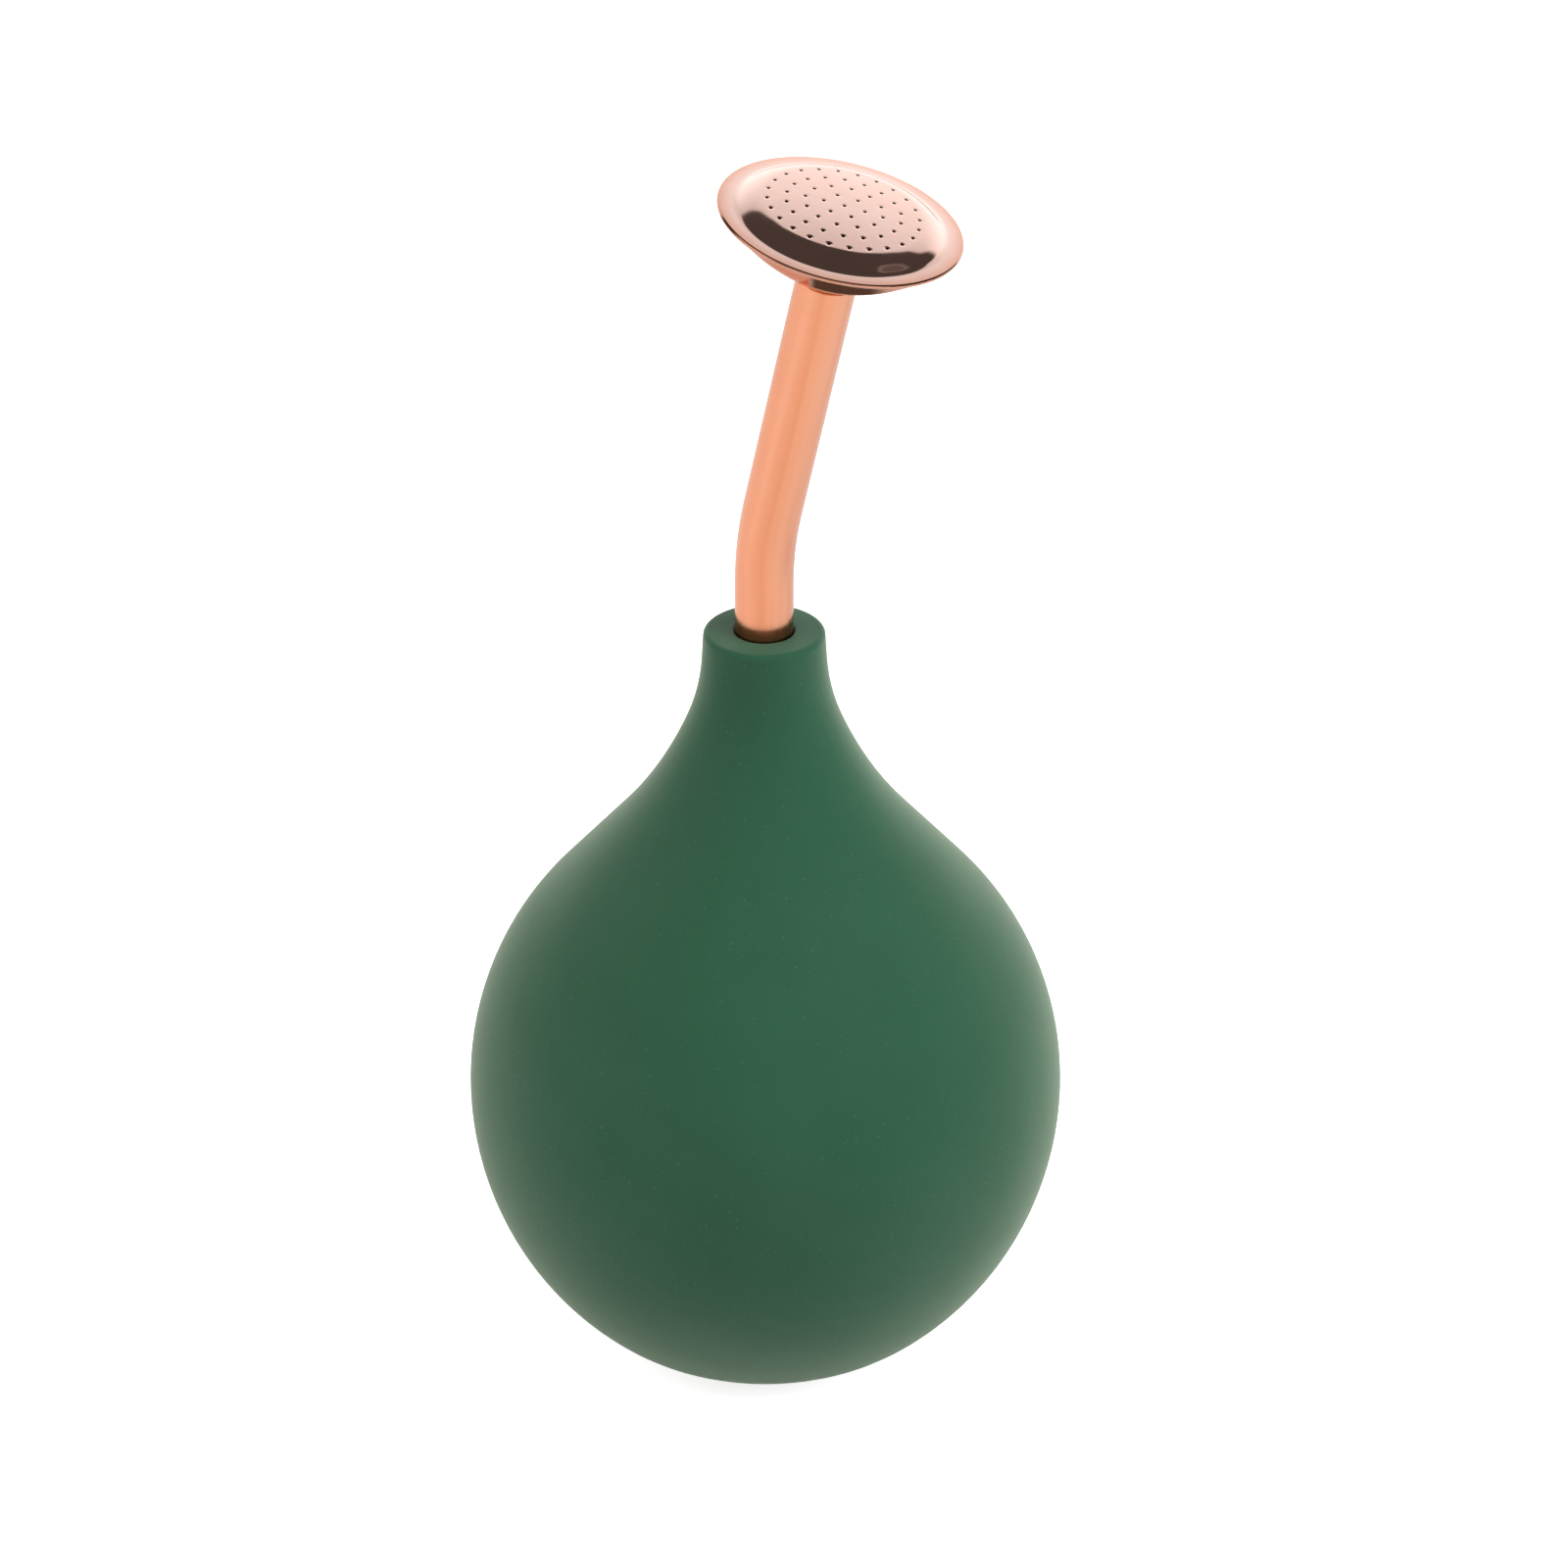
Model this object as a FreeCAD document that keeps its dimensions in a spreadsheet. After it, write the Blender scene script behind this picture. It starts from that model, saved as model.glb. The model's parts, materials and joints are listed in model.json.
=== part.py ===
"""Bulb plant waterer: a rubber squeeze bulb with a bent copper stem and a perforated copper rose.

Millimetres. The origin is the centre of the base, +Z is the bulb's axis, and the stem leans towards +X.
"""

import FreeCAD, Part

import math
import os

from FreeCAD import Placement, Rotation, Vector
import Sketcher

# alias: (value, what it is)
DIMENSIONS = {
    "bulb_radius": (43.2, "radius of the bulb at its widest"),
    "foot_arc": (24.1, "radius of the outline between the base and the lower half"),
    "lower_arc": (47.8, "radius of the outline below the widest point"),
    "upper_arc": (45.9, "radius of the outline above the widest point"),
    "lower_deg": (44.2, "turn of the lower arc"),
    "cone_deg": (41.15, "slope of the straight shoulder, from the axis"),
    "cone_length": (15.0, "length of the straight shoulder"),
    "throat_arc": (65.0, "radius of the hollow curve above the shoulder"),
    "taper_deg": (22.7, "slope, from the axis, where the two hollow curves meet"),
    "neck_arc": (30.4, "radius of the hollow curve at the foot of the neck"),
    "draft_deg": (3.6, "slope of the neck, from the axis"),
    "lip_round": (0.8, "rounding of the neck's outer lip"),
    "mouth_round": (0.4, "rounding of the neck's inner lip"),
    "neck_top": (113.9, "height of the neck above the base"),
    "rubber_wall": (3.0, "wall of the bulb"),
    "recess_radius": (8.0, "radius of the moulded recess under the base"),
    "recess_depth": (1.0, "depth of that recess"),
    "split_height": (78.0, "height where the part that is squeezed ends and the neck starts"),
    "tube_radius": (4.05, "outer radius of the stem"),
    "tube_wall": (0.7, "wall of the stem"),
    "tube_grip": (20.0, "length of the stem below the neck's top"),
    "fit_gap": (0.05, "radial clearance of the stem in the neck, and of the spigot in the stem"),
    "bend_height": (12.9, "height of the bend's corner above the neck's top"),
    "bend_radius": (50.0, "radius of the stem's bend"),
    "bend_deg": (14.0, "angle of the stem's bend"),
    "stem_reach": (42.0, "distance from the bend's corner to the stem's end"),
    "tube_edge": (0.2, "rounding of the stem's ends"),
    "collar_height": (1.0, "height of the spigot's collar, which stands on the stem's end"),
    "collar_radius": (3.8, "radius of that collar"),
    "plug_length": (9.0, "length of the spigot inside the stem"),
    "nose_chamfer": (0.5, "chamfer at the spigot's end"),
    "tail_radius": (3.0, "radius of the spigot's end inside the rose"),
    "tail_length": (1.2, "length of that end above the rose's floor"),
    "water_radius": (1.6, "radius of the hole through the spigot"),
    "groove_start": (3.8, "distance from the spigot's end to the seal's groove"),
    "groove_width": (1.3, "width of the groove"),
    "groove_radius": (2.3, "radius of the groove's bottom"),
    "seal_gap": (0.03, "clearance of the seal in the groove and in the stem"),
    "solder_leg": (0.9, "leg of the solder fillet"),
    "back_sheet": (0.8, "sheet thickness of the rose's back"),
    "hub_radius": (5.0, "radius of the flat floor of the rose's back"),
    "back_arc": (30.0, "radius of the back's outline"),
    "back_radius": (15.6, "radius of the back where it meets the face"),
    "rim_radius": (16.16, "outer radius of the rose"),
    "rim_height": (8.5, "height of the rim's centre above the stem's end"),
    "seat_drop": (0.25, "distance from the rim's centre down to the seam"),
    "apex_rise": (2.3, "rise of the face's middle above the rim's centre"),
    "face_sheet": (0.6, "sheet thickness of the face"),
    "dome_arc": (108.7, "radius of the face's perforated middle"),
    "dome_deg": (5.5, "slope at the edge of the middle"),
    "shoulder_arc": (5.9, "radius of the face's rounded shoulder"),
    "fall_deg": (35.5, "steepest slope of the shoulder"),
    "valley_arc": (2.0, "radius of the hollow where the shoulder meets the flange"),
    "bead_radius": (0.3, "radius of the flange's rolled edge"),
    "jet_radius": (0.3, "radius of each hole in the face"),
    "jet_turn": (24.6, "direction of the holes' common row, from the way the stem leans"),
}

# Each ring of holes in the face: (name, number of holes, radius of the ring)
JET_RINGS = [("first", 6, 2.73), ("second", 12, 5.14), ("third", 18, 7.55), ("fourth", 24, 9.98)]

doc = FreeCAD.newDocument("bulb_waterer")
sheet = doc.addObject("Spreadsheet::Sheet", "dims")


def fill_sheet():
    """Puts every driving dimension in the sheet under its alias."""
    rows = [(name, value, note) for name, (value, note) in DIMENSIONS.items()]
    for ring, count, radius in JET_RINGS:
        rows.append((ring + "_ring_count", count, "holes in the " + ring + " ring"))
        rows.append((ring + "_ring_radius", radius, "radius of the " + ring + " ring"))
    for row, (name, value, note) in enumerate(rows, start=1):
        sheet.set("A%d" % row, name)
        sheet.set("B%d" % row, str(value))
        sheet.setAlias("B%d" % row, name)
        sheet.set("C%d" % row, note)
    doc.recompute()


def size(name):
    """The value of one dimension."""
    return float(sheet.get(name))


def bind(target, prop, formula):
    """Ties a property to a formula of dimensions, each written as its alias in braces."""
    target.setExpression(prop, formula.replace("{", "dims.").replace("}", ""))


def value_of(formula):
    """Works out a formula of dimensions, so that a sketch is drawn where its constraints will hold it."""
    total = 0.0
    for term in formula.replace("-", "+-").split("+"):
        term = term.strip()
        if term:
            sign = -1.0 if term.startswith("-") else 1.0
            term = term.lstrip("- ").strip()
            total += sign * (size(term[1:-1]) if term.startswith("{") else float(term))
    return total


def new_body(label):
    body = doc.addObject("PartDesign::Body", label)
    body.Label = label
    return body


def new_sketch(body, name, role):
    """A sketch on one of the body's own origin planes."""
    plane = next(f for f in body.Origin.OriginFeatures if f.Role == role)
    sketch = body.newObject("Sketcher::SketchObject", name)
    sketch.AttachmentSupport = (plane, [""])
    sketch.MapMode = "FlatFace"
    doc.recompute()
    return sketch


def limit(sketch, kind, args, formula, angle=False):
    """Adds a dimensional constraint and ties it to its formula."""
    start = value_of(formula)
    index = sketch.addConstraint(Sketcher.Constraint(kind, *args, math.radians(start) if angle else start))
    unit = "deg" if angle else "mm"
    bind(sketch, "Constraints[%d]" % index, "(" + formula + ") * 1 " + unit)


def relate(sketch, kind, *args):
    sketch.addConstraint(Sketcher.Constraint(kind, *args))


START, END, CENTRE = 1, 2, 3
ORIGIN_X, ORIGIN_Y = -1, -2


class Pen:
    """Draws a chain of lines and arcs in a sketch, each joined to the one before it."""

    def __init__(self, sketch, x, y, heading):
        self.sketch = sketch
        self.point = Vector(x, y, 0)
        self.heading = heading
        self.tip = None

    def _join(self, index, first, last, smooth):
        if self.tip is not None:
            kind = "Tangent" if smooth else "Coincident"
            relate(self.sketch, kind, self.tip[0], self.tip[1], index, first)
        self.tip = (index, last)
        return index

    def line(self, length, smooth=True):
        """A line along the heading. It is smooth if it continues the last piece's direction."""
        along = math.radians(self.heading)
        end = self.point + Vector(math.cos(along), math.sin(along), 0) * length
        index = self.sketch.addGeometry(Part.LineSegment(self.point, end), False)
        self.point = end
        return self._join(index, START, END, smooth)

    def turn_to(self, heading):
        """Makes a corner: the next piece starts in another direction."""
        self.heading = heading

    def arc(self, radius, turn, smooth=True):
        """An arc that turns left if turn, in degrees, is positive, and right if it is negative."""
        side = 90 if turn > 0 else -90
        towards = math.radians(self.heading + side)
        centre = self.point + Vector(math.cos(towards), math.sin(towards), 0) * radius
        begin = self.heading - side
        finish = begin + turn
        low, high = sorted((math.radians(begin), math.radians(finish)))
        circle = Part.Circle(centre, Vector(0, 0, 1), radius)
        index = self.sketch.addGeometry(Part.ArcOfCircle(circle, low, high), False)
        leave = math.radians(finish)
        self.point = centre + Vector(math.cos(leave), math.sin(leave), 0) * radius
        self.heading += turn
        first, last = (START, END) if turn > 0 else (END, START)
        return self._join(index, first, last, smooth)

    def sized_arc(self, radius, turn, left=True, smooth=True):
        """An arc whose radius and turn are both formulas of dimensions."""
        index = self.arc(value_of(radius), value_of(turn) * (1 if left else -1), smooth)
        limit(self.sketch, "Radius", (index,), radius)
        limit(self.sketch, "Angle", (index,), turn, angle=True)
        return index


def revolve(body, sketch, name):
    """Turns a sketch about the body's Z axis."""
    turned = body.newObject("PartDesign::Revolution", name)
    turned.Profile = sketch
    turned.ReferenceAxis = (sketch, ["V_Axis"])
    turned.Angle = 360
    doc.recompute()
    return turned


def polygon(sketch, corners):
    """A closed outline of straight lines. Each corner is a pair of formulas, radius and height."""
    points = [Vector(value_of(x), value_of(y), 0) for x, y in corners]
    following = points[1:] + points[:1]
    lines = [sketch.addGeometry(Part.LineSegment(a, b), False) for a, b in zip(points, following)]
    for this, after in zip(lines, lines[1:] + lines[:1]):
        relate(sketch, "Coincident", this, END, after, START)
    for line, (x, y) in zip(lines, corners):
        limit(sketch, "DistanceX", (ORIGIN_X, START, line, START), x)
        if value_of(y) == 0:
            relate(sketch, "PointOnObject", line, START, ORIGIN_X)
        else:
            limit(sketch, "DistanceY", (ORIGIN_X, START, line, START), y)


def round_edges(body, name, radius, chosen):
    """Rounds the edges of the body's tip that pass the test."""
    base = body.Tip
    edges = ["Edge%d" % (i + 1) for i, e in enumerate(base.Shape.Edges) if chosen(e)]
    rounding = body.newObject("PartDesign::Fillet", name)
    rounding.Base = (base, edges)
    bind(rounding, "Radius", radius)
    doc.recompute()


def draw_rubber_outside(sketch):
    """The outside of the moulding, from the base's recess up to the neck's lip. Returns its arcs by name."""
    pen = Pen(sketch, 0, size("recess_depth"), 0)
    recess = pen.line(size("recess_radius"))
    relate(sketch, "PointOnObject", recess, START, ORIGIN_Y)
    relate(sketch, "Horizontal", recess)
    limit(sketch, "DistanceY", (ORIGIN_X, START, recess, START), "{recess_depth}")
    limit(sketch, "Distance", (recess,), "{recess_radius}")
    pen.turn_to(-90)
    step = pen.line(size("recess_depth"), smooth=False)
    relate(sketch, "Vertical", step)
    relate(sketch, "PointOnObject", step, END, ORIGIN_X)

    foot_turn = 90 - size("lower_deg")
    foot_reach = size("foot_arc") * math.sin(math.radians(foot_turn))
    lower_reach = size("lower_arc") * (1 - math.sin(math.radians(foot_turn)))
    flat_radius = size("bulb_radius") - foot_reach - lower_reach
    pen.turn_to(0)
    flat = pen.line(flat_radius - size("recess_radius"), smooth=False)
    relate(sketch, "Horizontal", flat)
    foot = pen.sized_arc("{foot_arc}", "90 - {lower_deg}")
    lower = pen.sized_arc("{lower_arc}", "{lower_deg}")
    limit(sketch, "DistanceX", (ORIGIN_X, START, lower, END), "{bulb_radius}")
    pen.sized_arc("{upper_arc}", "{cone_deg}")
    cone = pen.line(size("cone_length"))
    limit(sketch, "Distance", (cone,), "{cone_length}")
    pen.sized_arc("{throat_arc}", "{cone_deg} - {taper_deg}", left=False)
    pen.sized_arc("{neck_arc}", "{taper_deg} - {draft_deg}", left=False)
    draft = math.radians(size("draft_deg"))
    lip_rise = size("lip_round") * (1 - math.sin(draft))
    pen.line((size("neck_top") - lip_rise - pen.point.y) / math.cos(draft))
    pen.sized_arc("{lip_round}", "90 - {draft_deg}")
    return pen, foot, flat_radius


def draw_rubber_inside(sketch, outside, foot, flat_radius):
    """The hollow of the moulding, from the floor of the bulb up through the neck's bore."""
    pen = Pen(sketch, 0, size("rubber_wall"), 0)
    floor = pen.line(flat_radius)
    relate(sketch, "PointOnObject", floor, START, ORIGIN_Y)
    relate(sketch, "Horizontal", floor)
    limit(sketch, "DistanceY", (ORIGIN_X, START, floor, START), "{rubber_wall}")
    inner_foot = pen.arc(size("foot_arc") - size("rubber_wall"), 90 - size("lower_deg"))
    relate(sketch, "Coincident", inner_foot, CENTRE, foot, CENTRE)
    limit(sketch, "Angle", (inner_foot,), "90 - {lower_deg}", angle=True)
    pen.sized_arc("{lower_arc} - {rubber_wall}", "{lower_deg}")
    pen.sized_arc("{upper_arc} - {rubber_wall}", "{cone_deg}")
    bore_radius = size("tube_radius") + size("fit_gap")
    pen.line((pen.point.x - bore_radius) / math.sin(math.radians(size("cone_deg"))))
    pen.turn_to(90)
    bore = pen.line(size("neck_top") - size("mouth_round") - pen.point.y, smooth=False)
    relate(sketch, "Vertical", bore)
    limit(sketch, "DistanceX", (ORIGIN_X, START, bore, START), "{tube_radius} + {fit_gap}")
    mouth = pen.arc(size("mouth_round"), -90)
    limit(sketch, "Radius", (mouth,), "{mouth_round}")
    top = pen.line(outside.point.x - pen.point.x)
    limit(sketch, "DistanceY", (ORIGIN_X, START, top, END), "{neck_top}")
    relate(sketch, "Tangent", top, END, outside.tip[0], outside.tip[1])
    axis = sketch.addGeometry(
        Part.LineSegment(Vector(0, size("rubber_wall"), 0), Vector(0, size("recess_depth"), 0)), False
    )
    relate(sketch, "Coincident", axis, START, floor, START)
    relate(sketch, "Coincident", axis, END, 0, START)


def make_rubber():
    """The rubber moulding, and its two stretches: the wall that is squeezed and the neck above it."""
    moulding = new_body("rubber_moulding")
    sketch = new_sketch(moulding, "rubber_outline", "XZ_Plane")
    outside, foot, flat_radius = draw_rubber_outside(sketch)
    draw_rubber_inside(sketch, outside, foot, flat_radius)
    doc.recompute()
    revolve(moulding, sketch, "rubber_turned")

    below = doc.addObject("Part::Cylinder", "below_split")
    bind(below, "Radius", "{bulb_radius} * 1.5")
    bind(below, "Height", "{split_height}")
    wall = doc.addObject("Part::Common", "bulb_wall")
    wall.Base = moulding
    wall.Tool = below
    neck = doc.addObject("Part::Cut", "bulb_neck")
    neck.Base = moulding
    neck.Tool = below
    doc.recompute()
    return [wall, neck]


def make_stem():
    """The bent stem: straight in the neck, one bend, then straight to the rose."""
    body = new_body("stem_tube")
    path = new_sketch(body, "stem_path", "XZ_Plane")
    foot = size("neck_top") - size("tube_grip")
    half_bend = math.tan(math.radians(size("bend_deg") / 2)) * size("bend_radius")
    pen = Pen(path, 0, foot, 90)
    rise = pen.line(size("tube_grip") + size("bend_height") - half_bend)
    relate(path, "PointOnObject", rise, START, ORIGIN_Y)
    relate(path, "Vertical", rise)
    limit(path, "DistanceY", (ORIGIN_X, START, rise, START), "{neck_top} - {tube_grip}")
    pen.sized_arc("{bend_radius}", "{bend_deg}", left=False)
    lean = pen.line(size("stem_reach") - half_bend)
    half_turn = "tan({bend_deg} * 0.5 deg) * {bend_radius}"
    length = path.addConstraint(Sketcher.Constraint("Distance", rise, path.Geometry[rise].length()))
    bind(path, "Constraints[%d]" % length, "({tube_grip} + {bend_height} - " + half_turn + ") * 1 mm")
    length = path.addConstraint(Sketcher.Constraint("Distance", lean, path.Geometry[lean].length()))
    bind(path, "Constraints[%d]" % length, "({stem_reach} - " + half_turn + ") * 1 mm")

    ring = new_sketch(body, "stem_section", "XY_Plane")
    bind(ring, "AttachmentOffset.Base.z", "({neck_top} - {tube_grip}) * 1 mm")
    for radius in ("{tube_radius}", "{tube_radius} - {tube_wall}"):
        circle = ring.addGeometry(Part.Circle(Vector(0, 0, 0), Vector(0, 0, 1), value_of(radius)), False)
        relate(ring, "Coincident", circle, CENTRE, ORIGIN_X, START)
        limit(ring, "Radius", (circle,), radius)
    doc.recompute()
    pipe = body.newObject("PartDesign::AdditivePipe", "stem_pipe")
    pipe.Profile = ring
    pipe.Spine = (path, ["Edge1", "Edge2", "Edge3"])
    doc.recompute()

    section = math.pi * (size("tube_radius") ** 2 - (size("tube_radius") - size("tube_wall")) ** 2)
    if abs(pipe.Shape.Volume / (section * path.Shape.Length) - 1) > 0.005:
        raise RuntimeError("the stem's volume doesn't match its section and length")

    def end_edge(edge):
        circle = edge.Curve
        whole = isinstance(circle, Part.Circle) and abs(circle.Radius - size("tube_radius")) < 0.01
        low = edge.BoundBox.ZMin < foot + 0.1
        high = edge.BoundBox.ZMax > size("neck_top") + size("stem_reach")
        return whole and (low or high)

    round_edges(body, "stem_edges", "{tube_edge}", end_edge)
    return body


def stem_end(above=0.0):
    """The placement of a piece on the leaning stem's axis, that far beyond the stem's end."""
    turn = Rotation(Vector(0, 1, 0), size("bend_deg"))
    corner = Vector(0, 0, size("neck_top") + size("bend_height"))
    return Placement(corner + turn.multVec(Vector(0, 0, size("stem_reach") + above)), turn)


def make_spigot():
    """The turned spigot: a grooved plug, a collar that stands on the stem, and a tail for the solder."""
    body = new_body("rose_spigot")
    sketch = new_sketch(body, "spigot_outline", "XZ_Plane")
    plug = "{tube_radius} - {tube_wall} - {fit_gap}"
    groove_end = "{groove_start} + {groove_width}"
    collar_top = "{plug_length} + {collar_height}"
    tail_top = collar_top + " + {back_sheet} + {tail_length}"
    polygon(
        sketch,
        [
            ("{water_radius}", "0"),
            (plug + " - {nose_chamfer}", "0"),
            (plug, "{nose_chamfer}"),
            (plug, "{groove_start}"),
            ("{groove_radius}", "{groove_start}"),
            ("{groove_radius}", groove_end),
            (plug, groove_end),
            (plug, "{plug_length}"),
            ("{collar_radius}", "{plug_length}"),
            ("{collar_radius}", collar_top),
            ("{tail_radius}", collar_top),
            ("{tail_radius}", tail_top),
            ("{water_radius}", tail_top),
        ],
    )
    revolve(body, sketch, "spigot_turned")
    body.Placement = stem_end(-size("plug_length"))
    return body


def make_seal():
    """The rubber ring in the spigot's groove."""
    ring = doc.addObject("Part::Torus", "spigot_o_ring")
    bore = "({tube_radius} - {tube_wall} - {seal_gap})"
    bottom = "({groove_radius} + {seal_gap})"
    bind(ring, "Radius1", "(" + bore + " + " + bottom + ") / 2")
    bind(ring, "Radius2", "(" + bore + " - " + bottom + ") / 2")
    middle = size("groove_start") + size("groove_width") / 2
    ring.Placement = stem_end(middle - size("plug_length"))
    return ring


def make_back():
    """The spun back of the rose: a flat floor with a hole, then one long curve out to the seam."""
    body = new_body("rose_back")
    sketch = new_sketch(body, "back_outline", "XZ_Plane")
    seam = "{rim_height} - {seat_drop}"
    hub = Vector(size("hub_radius"), size("collar_height"), 0)
    rim = Vector(size("back_radius"), value_of(seam), 0)
    chord = rim - hub
    slope = math.degrees(math.atan2(chord.y, chord.x))
    half_turn = math.degrees(math.asin(chord.Length / 2 / size("back_arc")))

    pen = Pen(sketch, size("tail_radius"), hub.y, 0)
    floor = pen.line(hub.x - size("tail_radius"))
    relate(sketch, "Horizontal", floor)
    limit(sketch, "DistanceX", (ORIGIN_X, START, floor, START), "{tail_radius}")
    limit(sketch, "DistanceY", (ORIGIN_X, START, floor, START), "{collar_height}")
    limit(sketch, "DistanceX", (ORIGIN_X, START, floor, END), "{hub_radius}")
    pen.turn_to(slope - half_turn)
    outer = pen.arc(size("back_arc"), 2 * half_turn, smooth=False)
    centre = sketch.Geometry[outer].Center
    limit(sketch, "Radius", (outer,), "{back_arc}")
    limit(sketch, "DistanceX", (ORIGIN_X, START, outer, END), "{back_radius}")
    limit(sketch, "DistanceY", (ORIGIN_X, START, outer, END), seam)

    inner_radius = size("back_arc") - size("back_sheet")
    inner_floor = size("collar_height") + size("back_sheet")

    def across(height):
        return centre.x + math.sqrt(inner_radius**2 - (centre.y - height) ** 2)

    pen.turn_to(180)
    edge = pen.line(pen.point.x - across(pen.point.y), smooth=False)
    relate(sketch, "Horizontal", edge)
    start = math.degrees(math.atan2(pen.point.y - centre.y, pen.point.x - centre.x))
    finish = math.degrees(math.atan2(inner_floor - centre.y, across(inner_floor) - centre.x))
    pen.turn_to(start - 90)
    inner = pen.arc(inner_radius, finish - start, smooth=False)
    relate(sketch, "Coincident", inner, CENTRE, outer, CENTRE)
    limit(sketch, "Radius", (inner,), "{back_arc} - {back_sheet}")
    pen.turn_to(180)
    inside = pen.line(pen.point.x - size("tail_radius"), smooth=False)
    relate(sketch, "Horizontal", inside)
    limit(sketch, "DistanceY", (ORIGIN_X, START, inside, START), "{collar_height} + {back_sheet}")
    pen.turn_to(-90)
    hole = pen.line(size("back_sheet"), smooth=False)
    relate(sketch, "Vertical", hole)
    relate(sketch, "Coincident", hole, END, floor, START)
    doc.recompute()
    revolve(body, sketch, "back_turned")
    body.Placement = stem_end()
    return body


def make_solder():
    """The fillet of solder that holds the spigot in the rose's back."""
    body = new_body("rose_solder_ring")
    sketch = new_sketch(body, "solder_outline", "XZ_Plane")
    floor = "{collar_height} + {back_sheet}"
    polygon(
        sketch,
        [
            ("{tail_radius}", floor),
            ("{tail_radius} + {solder_leg}", floor),
            ("{tail_radius}", floor + " + {solder_leg}"),
        ],
    )
    revolve(body, sketch, "solder_turned")
    body.Placement = stem_end()
    return body


def draw_face(sketch):
    """The face's section: the perforated middle, its shoulder, the hollow, and the flange."""
    apex = "{rim_height} + {apex_rise}"
    pen = Pen(sketch, 0, value_of(apex), 0)
    dome = pen.sized_arc("{dome_arc}", "{dome_deg}", left=False)
    relate(sketch, "PointOnObject", dome, END, ORIGIN_Y)
    relate(sketch, "PointOnObject", dome, CENTRE, ORIGIN_Y)
    limit(sketch, "DistanceY", (ORIGIN_X, START, dome, END), apex)
    pen.sized_arc("{shoulder_arc}", "{fall_deg} - {dome_deg}", left=False)

    fall = math.radians(size("fall_deg"))
    curves = size("valley_arc") + size("bead_radius")
    across = size("rim_radius") - size("bead_radius") - pen.point.x - size("valley_arc") * math.sin(fall)
    rise = size("rim_height") - pen.point.y - size("valley_arc") * math.cos(fall)
    apart = math.hypot(across, rise)
    flange_deg = math.degrees(math.asin(curves / apart) + math.atan2(rise, across))
    valley = pen.arc(size("valley_arc"), size("fall_deg") + flange_deg)
    limit(sketch, "Radius", (valley,), "{valley_arc}")
    pen.line(math.sqrt(apart ** 2 - curves ** 2))
    under = math.degrees(math.asin(size("seat_drop") / size("bead_radius")))
    bead = pen.arc(size("bead_radius"), -(flange_deg + 90 + under))
    limit(sketch, "Radius", (bead,), "{bead_radius}")
    limit(sketch, "DistanceX", (ORIGIN_X, START, bead, CENTRE), "{rim_radius} - {bead_radius}")
    limit(sketch, "DistanceY", (ORIGIN_X, START, bead, CENTRE), "{rim_height}")
    limit(sketch, "DistanceY", (ORIGIN_X, START, bead, START), "{rim_height} - {seat_drop}")
    seam_outer = pen.point

    pen = Pen(sketch, 0, value_of(apex) - size("face_sheet"), 0)
    inner_dome = pen.arc(size("dome_arc") - size("face_sheet"), -size("dome_deg"))
    relate(sketch, "PointOnObject", inner_dome, END, ORIGIN_Y)
    relate(sketch, "Coincident", inner_dome, CENTRE, dome, CENTRE)
    limit(sketch, "DistanceY", (ORIGIN_X, START, inner_dome, END), apex + " - {face_sheet}")
    limit(sketch, "Angle", (inner_dome,), "{dome_deg}", angle=True)
    pen.sized_arc("{shoulder_arc} - {face_sheet}", "{fall_deg} - {dome_deg}", left=False)
    pen.turn_to(-90)
    skirt = pen.line(pen.point.y - seam_outer.y, smooth=False)
    relate(sketch, "Vertical", skirt)
    pen.turn_to(0)
    seam = pen.line(seam_outer.x - pen.point.x, smooth=False)
    relate(sketch, "Horizontal", seam)
    relate(sketch, "Coincident", seam, END, bead, START)
    top = Vector(0, value_of(apex), 0)
    axis = sketch.addGeometry(Part.LineSegment(top - Vector(0, size("face_sheet"), 0), top), False)
    relate(sketch, "Coincident", axis, START, inner_dome, END)
    relate(sketch, "Coincident", axis, END, dome, END)


def drill(body, name, radius_formula):
    """One hole through the face, along its axis. Without a ring radius it is the middle hole."""
    sketch = new_sketch(body, name + "_jet", "XY_Plane")
    away = value_of(radius_formula) if radius_formula else 0.0
    turn = math.radians(size("jet_turn"))
    place = Vector(math.cos(turn), math.sin(turn), 0) * away
    circle = sketch.addGeometry(Part.Circle(place, Vector(0, 0, 1), size("jet_radius")), False)
    limit(sketch, "Radius", (circle,), "{jet_radius}")
    if radius_formula:
        spoke = sketch.addGeometry(Part.LineSegment(Vector(0, 0, 0), place), True)
        relate(sketch, "Coincident", spoke, START, ORIGIN_X, START)
        relate(sketch, "Coincident", spoke, END, circle, CENTRE)
        limit(sketch, "Distance", (spoke,), radius_formula)
        limit(sketch, "Angle", (ORIGIN_X, spoke), "{jet_turn}", angle=True)
    else:
        relate(sketch, "Coincident", circle, CENTRE, ORIGIN_X, START)
    doc.recompute()
    before = body.Tip.Shape.Volume
    hole = body.newObject("PartDesign::Pocket", name + "_hole")
    hole.Profile = sketch
    hole.Type = "ThroughAll"
    hole.Midplane = True
    doc.recompute()
    if hole.Shape.Volume > before - 0.05:
        raise RuntimeError("the hole " + name + " cuts nothing")
    return hole


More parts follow.
